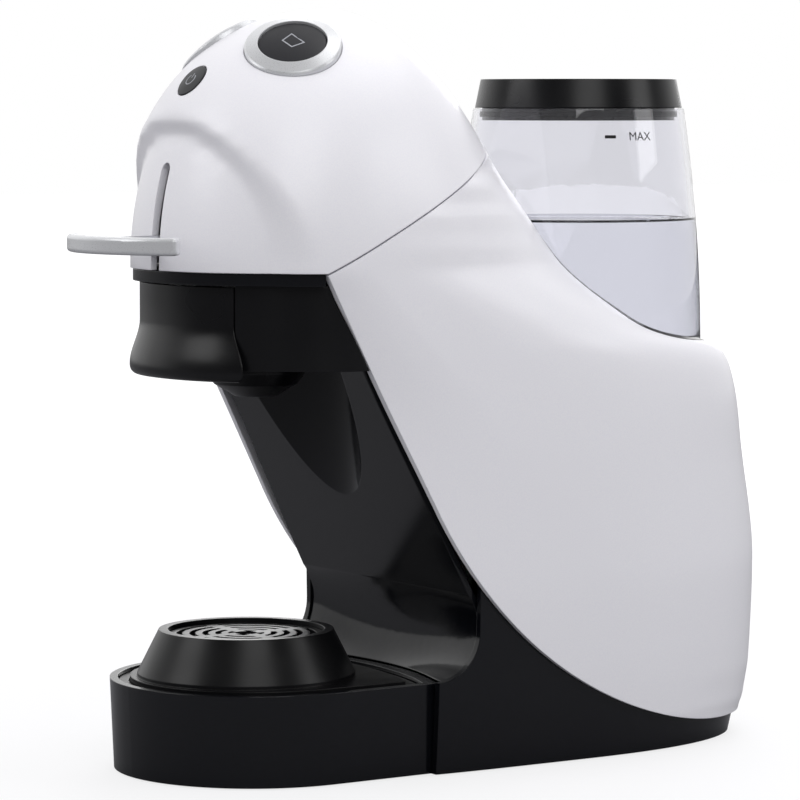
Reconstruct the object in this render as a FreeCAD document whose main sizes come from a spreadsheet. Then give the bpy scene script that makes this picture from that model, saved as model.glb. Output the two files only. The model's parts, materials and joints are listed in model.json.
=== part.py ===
# Pod coffee machine, millimetres: front towards -Y, +Z up, standing on z = 0.
# A lofted skin gives the white shells and the black base; the rest is turned, padded or built of primitives.
import FreeCAD
import Part
import Sketcher
import math
import os
from FreeCAD import Placement, Rotation, Vector

# Driving sizes, in groups that follow the machine from the floor upwards.
SIZES = {
    # Skin: head dome, its arched face and the walls.
    "wall": 2.5, "headFloor": 185.0, "headRise": 95.2, "headHalf": 63.0, "headMid": -59.0,
    "headFront": 62.1, "domePower": 2.12, "midDrift": 15.3, "frontDrift": 11.8,
    "archHalf": 60.0, "archRise": 57.0, "archPower": 2.1, "archDepth": 5.5, "archSoft": 9.0,
    "skinLow": -4.0, "headSkinLow": 168.0, "bodySkinTop": 240.0, "baseSkinTop": 96.0, "cutterHalf": 90.0,
    # Seam between head and body, front edge of the white shell, roof behind the tank.
    "seamFront": -79.3, "seamHeight": 185.2, "seamGap": 0.5, "seamEnd": 62.0, "seamRise": 71.6,
    "edgeTop": 184.5, "edgeKneeY": -34.7, "edgeKneeZ": 100.4, "edgeBend": 165.0,
    "edgeFootY": 113.0, "edgeFootZ": 9.0, "shellEnd": 165.0, "cutterTop": 300.0,
    "roofFrontY": 70.0, "roofFrontZ": 172.0, "roofRearY": 142.0, "roofRearZ": 146.2, "roofBend": 154.0,
    # Base shell and plate.
    "baseInset": 2.9, "baseLow": 0.5, "cheekFront": -30.5, "cheekStep": 34.5, "cheekBack": -13.5,
    "cheekBend": 18.0, "cheekTurnY": -31.5, "cheekTurnZ": 52.5, "cheekTop": 84.4, "baseOverlapBend": 155.0,
    "baseRearTop": 19.0, "plateThick": 2.5, "plateFront": -32.0,
    "bossRadius": 5.5, "bossTop": 22.0, "bossX": 50.5, "bossFrontY": 8.0, "bossRearY": 70.0,
    "screwRadius": 1.6, "screwHead": 3.2, "screwLength": 12.0, "screwGap": 0.1, "headThick": 1.5,
    "footRadius": 8.0, "footGap": 0.1, "trayFootTop": 2.8, "footFrontX": 40.0, "footFrontY": 0.0,
    "footRearX": 28.0, "footRearY": 112.0,
    # Drip tray and cup stand.
    "trayRadius": 53.1, "trayDraft": 2.4, "trayCentre": -73.0, "trayRear": -29.8, "trayBend": 143.0,
    "trayTop": 34.0, "trayInner": 51.5, "trayInnerRear": -33.0, "trayFloor": 6.0, "trayGap": 0.7,
    "trayWidest": 54.6, "trayClear": 55.3, "trayClearRear": -28.2, "trayFootRadius": 6.0,
    "trayFootX": 30.0, "trayFootY": -52.0, "trayFootFront": -112.0,
    "linerRim": 51.1, "linerRimRear": -33.5, "linerRimLow": 28.6, "linerTop": 32.5, "linerLedge": 47.4,
    "linerLedgeRear": -37.4, "linerLedgeTop": 30.2, "linerBody": 46.6, "linerBodyRear": -38.2,
    "linerInner": 44.8, "linerInnerRear": -40.0, "linerFloor": 8.0,
    "standAxis": -77.5, "standRadius": 47.0, "standRear": -37.8, "standLow": 30.5, "standTop": 34.5,
    "coneFoot": 40.4, "coneFootTop": 35.8, "coneTop": 32.4, "coneHeight": 51.7, "coneInner": 36.8,
    "coneRim": 29.0, "coneLedge": 26.0, "ledgeTop": 47.3, "ledgeLow": 44.6,
    "grilleRadius": 28.5, "grilleTop": 50.0, "slotWidth": 2.2, "barWidth": 2.6, "grilleHole": 4.0,
    "spokeWidth": 2.4,
    # Cup space panel.
    "panelThick": 2.5, "panelTopY": -60.0, "panelTopZ": 150.0, "panelKneeY": -17.0, "panelKneeZ": 66.0,
    "panelWaistY": -12.7, "panelWaistZ": 53.0, "panelFootZ": 34.4, "panelGap": 0.8, "panelInset": 5.8,
    "panelReach": 62.0,
    "spoutAxis": -73.0, "scoopRadius": 39.0, "scoopLow": 90.0,
    # Water tank with its well, collar, valve and lid.
    "tankAxis": 73.5, "wellInner": 49.4, "wellOuter": 51.4, "wellLow": 118.0, "wellFloor": 121.0,
    "wellGap": 0.2, "nippleRadius": 5.5, "nippleBore": 3.0, "nippleLow": 106.0,
    "sealInner": 5.0, "sealOuter": 9.5, "sealTop": 123.6,
    "tankFoot": 47.3, "tankFootZ": 124.0, "tankMouth": 40.9, "tankMouthZ": 243.6, "tankBend": 640.0,
    "tankInnerFoot": 45.1, "tankFloor": 126.2, "tankInnerMouth": 38.7, "tankInnerBend": 637.8,
    "tankHole": 5.0, "collarInner": 48.1, "collarOuter": 48.8, "collarTop": 153.0,
    "valveHead": 8.0, "valveLow": 122.0, "valveStem": 3.2, "valveSeat": 126.5, "valveTop": 129.0,
    "lidLow": 243.9, "lidTop": 254.9, "lidRadius": 40.1, "lidTopRadius": 37.9, "plugRadius": 37.3,
    "plugInner": 34.8, "plugLow": 239.0, "lidRoof": 252.4, "ringOuter": 38.2, "ringLow": 240.4,
    "ringTop": 242.4,
    # Head underside: band, brew housing, pod drawer and outlet.
    "bandTop": 185.0, "bandLow": 180.6, "bandInset": 0.9, "bandInner": 8.0, "bandEnd": -79.8,
    "outlineHeight": 184.9, "housingInset": 3.3, "housingLow": 150.0, "housingTop": 180.6,
    "housingFront": -102.2, "housingRear": -30.0, "channelHalf": 33.1, "channelLow": 152.4,
    "channelTop": 178.0, "channelRear": -47.5, "pistonHole": 22.6, "outletHole": 17.0,
    "holderFront": -102.6, "holderLow": 146.0, "holderTop": 180.0, "drawerHalf": 32.6, "drawerLow": 152.8,
    "drawerTop": 177.5, "drawerRear": -48.2, "podRadius": 26.0, "podFloor": 155.4, "podHole": 7.0,
    "lipInset": -0.5, "lipRound": 2.6, "waistHeight": 166.0, "lipHeight": 149.4,
    "flangeRadius": 18.7, "flangeLow": 147.0, "bowlStep": 15.5, "bowlMid": 142.5, "spoutRadius": 8.0,
    "spoutLow": 138.0, "spoutBore": 4.0, "bowlInner": 13.0, "outletCollar": 16.6, "outletTop": 152.0,
    # Lever, its pins and bracket, and the brew piston.
    "slotHalf": 2.9, "slotLow": 185.0, "slotTop": 221.2, "slotDepth": 50.0, "slotFront": -140.0,
    "pivotY": -48.0, "pivotZ": 205.0, "pivotRadius": 2.5, "pivotHalf": 7.4, "runFit": 0.06, "pressFit": 0.02,
    "armHalf": 2.0, "armEye": 6.5, "armHalfDepth": 3.4, "armTipHalf": 2.7, "armNeckY": -112.0,
    "armNeckZ": 195.2, "armTipY": -137.0, "armTipZ": 195.0,
    "bowRadius": 50.0, "bowCentre": -90.7, "bowHalfDepth": 3.65, "bowHalfHeight": 3.15, "bowSpread": 90.0,
    "bowRound": 1.4, "pinY": -73.0, "pinZ": 202.2, "pinRadius": 2.0, "pinHalf": 7.0,
    "cheekInner": 3.0, "cheekOuter": 6.6, "bracketFoot": 183.0, "bracketFootHalf": 16.0,
    "bracketFootFront": -50.3, "bracketFootRear": -34.0, "bracketRear": -39.0,
    "bracketScrewX": 12.0, "bracketScrewFront": -46.0, "bracketScrewRear": -38.0,
    "pistonRadius": 22.0, "pistonLow": 178.4, "pistonTop": 184.6, "stemRadius": 9.0, "stemTop": 193.0,
    "pistonRecess": 7.0, "recessTop": 182.4, "yokeTop": 208.0, "yokeHalf": 8.0,
    "yokeSlot": 3.2, "yokePlay": 0.2, "grooveDeep": 1.2, "grooveLow": 180.4,
    "grooveTop": 182.6, "sealProud": 0.3,
    "needleRadius": 1.2, "needleLow": 178.6, "needleTaper": 180.4,
    # Boiler, pump and plumbing.
    "boilerY": -17.0, "boilerRadius": 20.0, "boilerLow": 184.0, "boilerTop": 232.0, "boilerEdge": 16.0,
    "boilerRim": 4.0, "boilerNipple": 4.0, "boilerNippleLow": 172.0, "shelfHalf": 15.0, "shelfRear": -2.0,
    "shelfHole": 5.0,
    "pumpX": 22.0, "pumpZ": 30.0, "pumpRadius": 17.0, "pumpFront": 32.0, "pumpRear": 82.0, "pumpNipple": 4.0,
    "nippleReach": 12.0, "mountThick": 4.0, "mountHalf": 15.0, "mountTop": 44.0, "mountHole": 4.3,
    "meterRadius": 11.0, "meterLow": 90.0, "meterTop": 102.0, "meterEnd": 86.0, "meterNipple": 3.6,
    "hoseRadius": 4.0, "hoseBend": 12.0, "hoseFall": 66.0, "hoseBack": 114.0, "hoseFront": 4.0,
    "hoseRise": 156.0,
    # Electronics.
    "boardX": -40.0, "boardThick": 1.6, "boardFront": 12.0, "boardRear": 82.0, "boardTop": 62.0,
    "relayDeep": 15.0, "relayWide": 18.0, "relayHigh": 12.0, "relayY": 20.0, "relayZ": 36.0,
    "capRadius": 5.0, "capLong": 14.0, "capY": 52.0, "capStep": 13.0, "capZ": 46.0,
    "sinkDeep": 12.0, "sinkWide": 24.0, "sinkHigh": 14.0, "sinkY": 46.0, "sinkZ": 18.0,
    # Buttons with their sockets and switches.
    "brewX": 26.0, "brewY": -72.8, "powerY": -99.9,
    "brewCap": 12.3, "brewFlat": 10.4, "brewCrown": 0.7, "brewEdge": 0.0, "brewUnder": -3.0,
    "brewStem": 3.0, "brewStemEnd": -5.6,
    "bezelBore": 12.7, "bezelRise": 0.5, "bezelShoulder": 17.1, "bezelFall": -0.9, "bezelRadius": 17.7,
    "bezelSide": -1.6, "bezelLow": -5.0, "bezelSleeve": 14.2, "bezelEnd": -14.0, "bezelFloor": -12.0,
    "bezelHole": 17.9, "bezelCut": 12.0,
    "powerCap": 6.8, "powerFlat": 6.0, "powerCrown": 0.5, "powerEdge": 0.15, "powerUnder": -2.6,
    "powerStem": 2.0,
    "powerStemEnd": -5.0, "powerHole": 7.15, "socketRadius": 8.5, "socketTop": -3.4,
    "socketEnd": -12.0, "socketFloor": -10.4,
    "switchHalf": 3.0, "switchHigh": 2.8, "plungerRadius": 1.7, "brewPlunger": 4.0, "powerPlunger": 3.5,
    # Cord gland at the back.
    "glandY": 141.6, "glandZ": 27.0, "glandFlange": 8.0, "glandThick": 2.2, "glandRadius": 5.2,
    "glandBore": 3.4,
    "glandReach": -12.0, "glandHole": 5.4,
}

# Stations of the body below the head: rows of height and value.
STATIONS = {
    "bodyHalf": [(0, 61), (40, 63.2), (75, 64), (110, 64), (150, 63.6), (185, 63)],
    "bodyMid": [(0, 38.5), (60, 38.5), (110, 15.5), (150, -24.5), (185, -59)],
    "bodyFront": [(0, -123), (60, -123), (110, -120), (150, -119), (185, -121.1)],
    "bodyBack": [(0, 136), (30, 143), (72, 144.5), (110, 137), (147, 127), (153, 120.5), (163, 88),
                 (177, 63), (185, 54)],
    "rearPower": [(0, 2.4), (75, 2.4), (110, 2.7), (147, 3.2), (160, 3.2), (185, 2.4)],
    "frontPower": [(0, 3.2), (60, 3.2), (110, 2.6), (150, 2.2), (185, 2.2)],
    "headReach": [(185, 113), (192, 104.7), (206, 93.5), (222, 82), (238, 75), (252, 68.3), (264, 61),
                  (272, 55), (277, 49.5), (280.2, 46)],
}

SECTION_POINTS = 96
BODY_STEP = 5.4
HEAD_FOOT_SECTIONS = 4
HEAD_SECTIONS = 14
HEAD_STEP = 4.5
CROWN_SECTIONS = 11
CROWN_REST = 0.02
NORMAL_STEP = 0.001
PULL_STEPS = 20

doc = FreeCAD.newDocument("PodCoffeeMachine")
sheet = doc.addObject("Spreadsheet::Sheet", "Sizes")
row = 1
for alias, number in SIZES.items():
    sheet.set("A%d" % row, alias)
    sheet.set("B%d" % row, str(number))
    sheet.setAlias("B%d" % row, alias)
    row += 1
for series, stations in STATIONS.items():
    for index, (height, number) in enumerate(stations, 1):
        sheet.set("A%d" % row, "%s at height %g" % (series, height))
        sheet.set("B%d" % row, str(number))
        sheet.setAlias("B%d" % row, "%sStation%d" % (series, index))
        row += 1
doc.recompute()

PARTS = []


def formula(words):
    # A sum of named sizes as an expression on the sheet.
    return " ".join("Sizes." + word if word in SIZES else word for word in words.split())


def total(words):
    # The same sum as a number.
    result = 0.0
    sign = 1.0
    for word in words.split():
        if word in ("+", "-"):
            sign = 1.0 if word == "+" else -1.0
        else:
            result += sign * (SIZES[word] if word in SIZES else float(word))
    return result


def bind(made, **sums):
    for name, words in sums.items():
        made.setExpression(name, formula(words))
    return made


def place(made, x="0", y="0", z="0"):
    for axis, words in zip("xyz", (x, y, z)):
        if words != "0":
            made.setExpression("Placement.Base." + axis, formula(words))
    return made


def keep(made, label):
    made.Label = label
    PARTS.append(made)
    return made


def box(label, x, y, z):
    # x, y and z are each a low and a high sum.
    made = doc.addObject("Part::Box", label)
    sides = ["%s - ( %s )" % (high, low) for low, high in (x, y, z)]
    bind(made, Length=sides[0], Width=sides[1], Height=sides[2])
    return place(made, x[0], y[0], z[0])


def cylinder(label, radius, low, high, x="0", y="0"):
    made = doc.addObject("Part::Cylinder", label)
    bind(made, Radius=radius, Height="%s - ( %s )" % (high, low))
    return place(made, x, y, low)


def across(label, radius, half, y, z):
    # A cylinder along X, centred on x = 0.
    made = doc.addObject("Part::Cylinder", label)
    bind(made, Radius=radius, Height="2 * " + half)
    made.Placement = Placement(Vector(0, 0, 0), Rotation(Vector(0, 0, 1), Vector(1, 0, 0)))
    return place(made, "- " + half, y, z)


def lengthwise(label, radius, front, rear, x, z):
    # A cylinder along Y.
    made = doc.addObject("Part::Cylinder", label)
    bind(made, Radius=radius, Height="%s - ( %s )" % (rear, front))
    made.Placement = Placement(Vector(0, 0, 0), Rotation(Vector(0, 0, 1), Vector(0, 1, 0)))
    return place(made, x, front, z)


def cut(label, base, tool):
    made = doc.addObject("Part::Cut", label)
    made.Base = base
    made.Tool = tool
    made.Refine = False
    return made


def common(label, base, tool):
    made = doc.addObject("Part::Common", label)
    made.Base = base
    made.Tool = tool
    made.Refine = False
    return made


def fuse(label, pieces):
    made = doc.addObject("Part::MultiFuse", label)
    made.Shapes = pieces
    made.Refine = False
    return made


def group(label, pieces):
    made = doc.addObject("Part::Compound", label)
    made.Links = pieces
    return made


def drawOutline(body, plane, name, rows):
    # A closed outline; a third entry in a row is the radius of the arc that leaves its corner.
    # A radius with a leading minus turns clockwise.
    sketch = body.newObject("Sketcher::SketchObject", name)
    support = [part for part in body.Origin.OriginFeatures if part.Role == plane][0]
    sketch.AttachmentSupport = (support, [""])
    sketch.MapMode = "FlatFace"
    corners = [Vector(total(entry[0]), total(entry[1]), 0) for entry in rows]
    ends = []
    for index, entry in enumerate(rows):
        start = corners[index]
        end = corners[(index + 1) % len(rows)]
        if len(entry) == 2:
            sketch.addGeometry(Part.LineSegment(start, end), False)
            ends.append((1, 2))
            continue
        turn = -1.0 if entry[2].startswith("-") else 1.0
        radius = abs(total(entry[2]))
        chord = end - start
        rise = radius - math.sqrt(radius ** 2 - chord.Length ** 2 / 4)
        outwards = Vector(chord.y, -chord.x, 0).normalize() * (rise * turn)
        middle = (start + end) * 0.5 + outwards
        arc = Part.Arc(start, middle, end) if turn > 0 else Part.Arc(end, middle, start)
        sketch.addGeometry(arc, False)
        ends.append((1, 2) if turn > 0 else (2, 1))
    for index, entry in enumerate(rows):
        following = (index + 1) % len(rows)
        sketch.addConstraint(Sketcher.Constraint("Coincident", index, ends[index][1],
                                                 following, ends[following][0]))
        spot = (index, ends[index][0])
        for kind, words, axis in (("DistanceX", entry[0], -2), ("DistanceY", entry[1], -1)):
            if words == "0":
                sketch.addConstraint(Sketcher.Constraint("PointOnObject", *spot, axis))
                continue
            made = sketch.addConstraint(Sketcher.Constraint(kind, -1, 1, *spot, total(words)))
            sketch.setExpression("Constraints[%d]" % made, formula(words))
        if len(entry) == 3:
            made = sketch.addConstraint(Sketcher.Constraint("Radius", index, abs(total(entry[2]))))
            sketch.setExpression("Constraints[%d]" % made, formula(entry[2].lstrip("- ")))
    return sketch


def newBody(label):
    body = doc.addObject("PartDesign::Body", label)
    body.Label = label
    return body


def revolve(body, name, rows, degrees=360.0):
    # Rows of radius and height turned about the body's Z axis.
    sketch = drawOutline(body, "XZ_Plane", name + "Section", rows)
    turn = body.newObject("PartDesign::Revolution", name)
    turn.Profile = sketch
    turn.ReferenceAxis = (sketch, ["V_Axis"])
    turn.Angle = degrees
    turn.Midplane = True
    return turn


def turned(label, rows, y="0", x="0", z="0"):
    body = newBody(label)
    revolve(body, label + "Turn", rows)
    return place(body, x, y, z)


def padPlan(body, name, rows, low, high, taper=None):
    # A plan outline in XY, padded from one height to another.
    sketch = drawOutline(body, "XY_Plane", name + "Plan", rows)
    sketch.setExpression("AttachmentOffset.Base.z", formula(low))
    pad = body.newObject("PartDesign::Pad", name)
    pad.Profile = sketch
    bind(pad, Length="%s - ( %s )" % (high, low))
    if taper:
        bind(pad, TaperAngle=taper)
    return pad


def pocketPlan(body, name, rows, high, low):
    # A plan outline cut downwards from a height.
    sketch = drawOutline(body, "XY_Plane", name + "Plan", rows)
    sketch.setExpression("AttachmentOffset.Base.z", formula(high))
    pocket = body.newObject("PartDesign::Pocket", name)
    pocket.Profile = sketch
    bind(pocket, Length="%s - ( %s )" % (high, low))
    return pocket


def padSide(label, rows, half):
    # A side view in YZ, padded equally to both sides of x = 0.
    body = newBody(label)
    sketch = drawOutline(body, "YZ_Plane", label + "Side", rows)
    pad = body.newObject("PartDesign::Pad", label + "Pad")
    pad.Profile = sketch
    pad.Midplane = True
    bind(pad, Length="2 * " + half)
    return body


def tubPlan(radius, rear, centre="trayCentre"):
    # Round front, straight sides and a gently bowed rear edge.
    front = "%s - %s" % (centre, radius)
    return [(radius, rear, "trayBend"), ("- " + radius, rear), ("- " + radius, centre, radius),
            ("0", front, radius), (radius, centre)]


def solid(label, shape):
    # A shape that no sketch or primitive gives.
    made = doc.addObject("Part::Feature", label)
    made.Shape = shape
    return made


def smooth(series, height):
    # Cubic through the stations that never overshoots them.
    rows = STATIONS[series]
    if height <= rows[0][0]:
        return rows[0][1]
    if height >= rows[-1][0]:
        return rows[-1][1]
    slopes = [(b[1] - a[1]) / (b[0] - a[0]) for a, b in zip(rows, rows[1:])]
    tangents = [slopes[0]]
    for before, after in zip(slopes, slopes[1:]):
        flat = before * after <= 0
        tangents.append(0.0 if flat else 2 * before * after / (before + after))
    tangents.append(slopes[-1])
    index = max(k for k in range(len(slopes)) if rows[k][0] <= height)
    (low, first), (high, last) = rows[index], rows[index + 1]
    span = high - low
    part = (height - low) / span
    return (first * (1 + 2 * part) * (1 - part) ** 2 + tangents[index] * span * part * (1 - part) ** 2
            + last * part ** 2 * (3 - 2 * part) + tangents[index + 1] * span * part ** 2 * (part - 1))


def girth(level):
    # Middle, half width, front reach and rear reach of the skin at a height.
    floor = SIZES["headFloor"]
    if level <= floor:
        middle = smooth("bodyMid", level)
        return middle, smooth("bodyHalf", level), middle - smooth("bodyFront", level), \
            smooth("bodyBack", level) - middle
    share = (level - floor) / SIZES["headRise"]
    dome = (1 - share ** SIZES["domePower"]) ** (1 / SIZES["domePower"])
    middle = SIZES["headMid"] + SIZES["midDrift"] * share ** 2
    front = (SIZES["headFront"] + SIZES["frontDrift"] * share ** 2) * dome
    return middle, SIZES["headHalf"] * dome, front, smooth("headReach", level) * dome


def outline(height, inset, at=None):
    # Points of one level section; an inset skin is drawn in and lowered by the same amount.
    floor = SIZES["headFloor"]
    level = min(height + inset, floor + SIZES["headRise"] - 0.001)
    middle, half, front, rear = girth(level)
    half -= inset
    front -= inset
    rear -= inset
    power = SIZES["archPower"]
    points = []
    for step in range(SECTION_POINTS):
        angle = 2 * math.pi * step / SECTION_POINTS
        ahead = math.cos(angle)
        aside = math.sin(angle)
        bulge = smooth("rearPower" if ahead > 0 else "frontPower", level)
        x = half * math.copysign(abs(aside) ** (2 / bulge), aside)
        y = (rear if ahead > 0 else front) * math.copysign(abs(ahead) ** (2 / bulge), ahead)
        if ahead < 0:
            reach = (abs(x) / SIZES["archHalf"]) ** power
            reach += (max(level - floor, 0) / SIZES["archRise"]) ** power
            fade = (1 - reach ** (1 / power)) * SIZES["archRise"] / SIZES["archSoft"]
            fade = min(max(fade, 0), 1)
            shrink = 1 - SIZES["archDepth"] * fade ** 2 * (3 - 2 * fade) / front
            x *= shrink
            y *= shrink
        points.append(Vector(x, middle + y, height if at is None else at))
    return points


def ring(points):
    # Closed smooth curve through the points of a section.
    curve = Part.BSplineCurve()
    steps = [step / len(points) for step in range(len(points) + 1)]
    curve.interpolate(Points=points, PeriodicFlag=True, Parameters=steps)
    return Part.Wire([curve.toShape()])


def levels(low, high, count):
    return [low + (high - low) * step / (count - 1) for step in range(count)]


def skin(label, inset, heights):
    # The outer form between the first and the last height, drawn in by the inset.
    return solid(label, Part.makeLoft([ring(outline(height, inset)) for height in heights], True, False))


def headSkin(label, inset):
    # The dome, from a little below the head's floor to the crown.
    floor = SIZES["headFloor"]
    rise = SIZES["headRise"] - inset
    heights = levels(SIZES["headSkinLow"] - inset, floor, HEAD_FOOT_SECTIONS)
    heights += [floor + HEAD_STEP * step for step in range(1, HEAD_SECTIONS)]
    start = math.asin((heights[-1] - floor) / rise)
    for step in range(1, CROWN_SECTIONS + 1):
        angle = start + (math.pi / 2 - CROWN_REST - start) * step / CROWN_SECTIONS
        heights.append(floor + rise * math.sin(angle))
    return skin(label, inset, heights)


def bodySkin(label, inset, top):
    # The body, from below the floor to a height.
    low = SIZES["skinLow"] - inset
    return skin(label, inset, levels(low, top, round((top - low) / BODY_STEP)))


def plan(label, inset, low, high):
    # Upright block on the head's lowest outline.
    face = Part.Face(ring(outline(SIZES["outlineHeight"], inset, at=low)))
    return solid(label, face.extrude(Vector(0, 0, high - low)))


# Skins that the shells are cut from.
headOuter = headSkin("headOuter", 0.0)
headInner = headSkin("headInner", SIZES["wall"])
bodyOuter = bodySkin("bodyOuter", 0.0, SIZES["bodySkinTop"])
bodyInner = bodySkin("bodyInner", SIZES["wall"], total("bodySkinTop + wall"))
baseOuter = bodySkin("baseOuter", SIZES["baseInset"], SIZES["baseSkinTop"])
baseInner = bodySkin("baseInner", total("baseInset + wall"), total("baseSkinTop + wall"))
panelSkin = bodySkin("panelSkin", SIZES["panelInset"], total("panelTopZ + wall"))


def fullness(x, y, z):
    # Below 1 inside the front half of the dome, 1 on it and above 1 outside.
    middle, half, front, rear = girth(z)
    bulge = smooth("frontPower", z)
    return (abs(x) / half) ** bulge + (abs(middle - y) / front) ** bulge


def onSkin(x, y):
    # Place and direction of the front half of the dome above a point of the plan.
    low = total("headFloor + archRise")
    high = total("headFloor + headRise") - CROWN_REST
    while high - low > NORMAL_STEP:
        middle = (low + high) / 2
        if fullness(x, y, middle) < 1:
            low = middle
        else:
            high = middle
    here = fullness(x, y, low)
    slope = Vector(fullness(x + NORMAL_STEP, y, low) - here, fullness(x, y + NORMAL_STEP, low) - here,
                   fullness(x, y, low + NORMAL_STEP) - here)
    return Vector(x, y, low), slope.normalize()


# Roof cut behind the tank, and the same cut one wall lower for the inside.
def roof(label, drop):
    return padSide(label, [("roofFrontY", "roofFrontZ" + drop, "roofBend"), ("roofRearY", "roofRearZ" + drop),
                           ("shellEnd", "roofRearZ" + drop), ("shellEnd", "cutterTop"),
                           ("roofFrontY", "cutterTop")], "cutterHalf")


trimmedOuter = cut("trimmedOuter", bodyOuter, roof("roofCut", ""))
trimmedInner = cut("trimmedInner", bodyInner, roof("roofInnerCut", " - wall"))

# Buttons: each stands square to the skin, in a socket that holds its switch.
brewSpots = {"right": onSkin(SIZES["brewX"], SIZES["brewY"]), "left": onSkin(-SIZES["brewX"], SIZES["brewY"])}
powerSpot = onSkin(0.0, SIZES["powerY"])


def seated(spot):
    return Placement(spot[0], Rotation(Vector(0, 0, 1), spot[1]))


def switch(label, spot, floor, plunger):
    block = box(label + "Block", ("- switchHalf", "switchHalf"), ("- switchHalf", "switchHalf"),
                (floor, floor + " + switchHigh"))
    stem = cylinder(label + "Stem", "plungerRadius", floor, "%s + %s" % (floor, plunger))
    made = fuse(label, [block, stem])
    made.Placement = seated(spot)
    return made


switches = []
buttonHoles = []
for side, spot in brewSpots.items():
    button = turned("brew_button_" + side, [
        ("0", "brewUnder"), ("brewCap", "brewUnder"), ("brewCap", "brewEdge"), ("brewFlat", "brewCrown"),
        ("0", "brewCrown")])
    stem = revolve(button, "brewStem_" + side, [
        ("0", "brewStemEnd"), ("brewStem", "brewStemEnd"), ("brewStem", "brewUnder + 0.5"),
        ("0", "brewUnder + 0.5")])
    button.Placement = seated(spot)
    keep(button, "brew_button_" + side)
    bezel = turned("brew_bezel_" + side, [
        ("0", "bezelEnd"), ("bezelSleeve", "bezelEnd"), ("bezelSleeve", "bezelLow"),
        ("bezelRadius", "bezelLow"),
        ("bezelRadius", "bezelSide"), ("bezelShoulder", "bezelFall"), ("bezelBore", "bezelRise"),
        ("bezelBore", "bezelFloor"), ("0", "bezelFloor")])
    bezel.Placement = seated(spot)
    keep(bezel, "brew_bezel_" + side)
    hole = cylinder("bezelHole_" + side, "bezelHole", "0", "bezelCut + bezelCut")
    hole.Placement = seated(spot).multiply(Placement(Vector(0, 0, -SIZES["bezelCut"]), Rotation()))
    buttonHoles.append(hole)
    switches.append(switch("brewSwitch_" + side, spot, "bezelFloor", "brewPlunger"))

power = turned("power_button", [
    ("0", "powerStemEnd"), ("powerStem", "powerStemEnd"), ("powerStem", "powerUnder"),
    ("powerCap", "powerUnder"),
    ("powerCap", "powerEdge"), ("powerFlat", "powerCrown"), ("0", "powerCrown")])
power.Placement = seated(powerSpot)
keep(power, "power_button")
socket = turned("power_socket", [
    ("0", "socketEnd"), ("socketRadius", "socketEnd"), ("socketRadius", "socketTop"),
    ("powerHole", "socketTop"),
    ("powerHole", "socketFloor"), ("0", "socketFloor")])
socket.Placement = seated(powerSpot)
keep(socket, "power_socket")
powerHole = cylinder("powerHole", "powerHole", "0", "bezelCut + bezelCut")
powerHole.Placement = seated(powerSpot).multiply(Placement(Vector(0, 0, -SIZES["bezelCut"]), Rotation()))
buttonHoles.append(powerHole)
# A shallow seat inside the head, where the socket bears on the skin.
socketSeat = cylinder("socketSeat", "socketRadius + seamGap", "0", "bezelCut + socketTop")
socketSeat.Placement = seated(powerSpot).multiply(Placement(Vector(0, 0, -SIZES["bezelCut"]), Rotation()))
buttonHoles.append(socketSeat)
switches.append(switch("powerSwitch", powerSpot, "socketFloor", "powerPlunger"))
keep(group("switches", switches), "switches")

# Head cover: the skin above the seam, with the lever slot and the button holes.
headBlock = padSide("headBlock", [
    ("- shellEnd", "seamHeight"), ("seamFront", "seamHeight"), ("seamEnd", "seamHeight + seamRise"),
    ("seamEnd", "cutterTop"), ("- shellEnd", "cutterTop")], "cutterHalf")
headShell = cut("headShell", common("headForm", headOuter, headBlock), headInner)
slotBox = box("slotBox", ("- slotHalf", "slotHalf"), ("slotFront", "slotFront + slotDepth"),
              ("slotLow", "slotTop"))
slotEnd = lengthwise("slotEnd", "slotHalf", "slotFront", "slotFront + slotDepth", "0", "slotTop")
headHoles = fuse("headHoles", [slotBox, slotEnd] + buttonHoles)
keep(cut("headCover", headShell, headHoles), "head_cover")


# Body shell: the skin behind the front edge and below the seam, open over the tank's well.
def behindEdge(label, ahead):
    return padSide(label, [
        ("edgeFootY" + ahead, "edgeFootZ"), ("shellEnd", "edgeFootZ"),
        ("shellEnd", "seamHeight + seamRise - seamGap"), ("seamEnd", "seamHeight + seamRise - seamGap"),
        ("seamFront" + ahead, "edgeTop"), ("edgeKneeY" + ahead, "edgeKneeZ", "edgeBend")], "cutterHalf")


bodyBlock = behindEdge("bodyBlock", "")
bodyWalls = cut("bodyWalls", common("bodyForm", trimmedOuter, bodyBlock), trimmedInner)
wellHole = cylinder("wellHole", "wellOuter + wellGap", "wellLow", "cutterTop", y="tankAxis")
glandHole = lengthwise("glandHole", "glandHole", "glandY - bezelCut", "glandY + bezelCut", "0", "glandZ")
glandRecess = lengthwise("glandRecess", "glandFlange + seamGap", "glandY", "glandY + bezelCut", "0", "glandZ")
keep(cut("bodyShell", bodyWalls, fuse("bodyHoles", [wellHole, glandHole, glandRecess])), "body_shell")

gland = turned("cord_gland", [
    ("glandBore", "glandReach"), ("glandRadius", "glandReach"), ("glandRadius", "0"), ("glandFlange", "0"),
    ("glandFlange", "glandThick"), ("glandBore", "glandThick")])
gland.Placement = Placement(Vector(0, SIZES["glandY"], SIZES["glandZ"]),
                            Rotation(Vector(1, 0, 0), -90))
keep(gland, "cord_gland")

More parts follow.
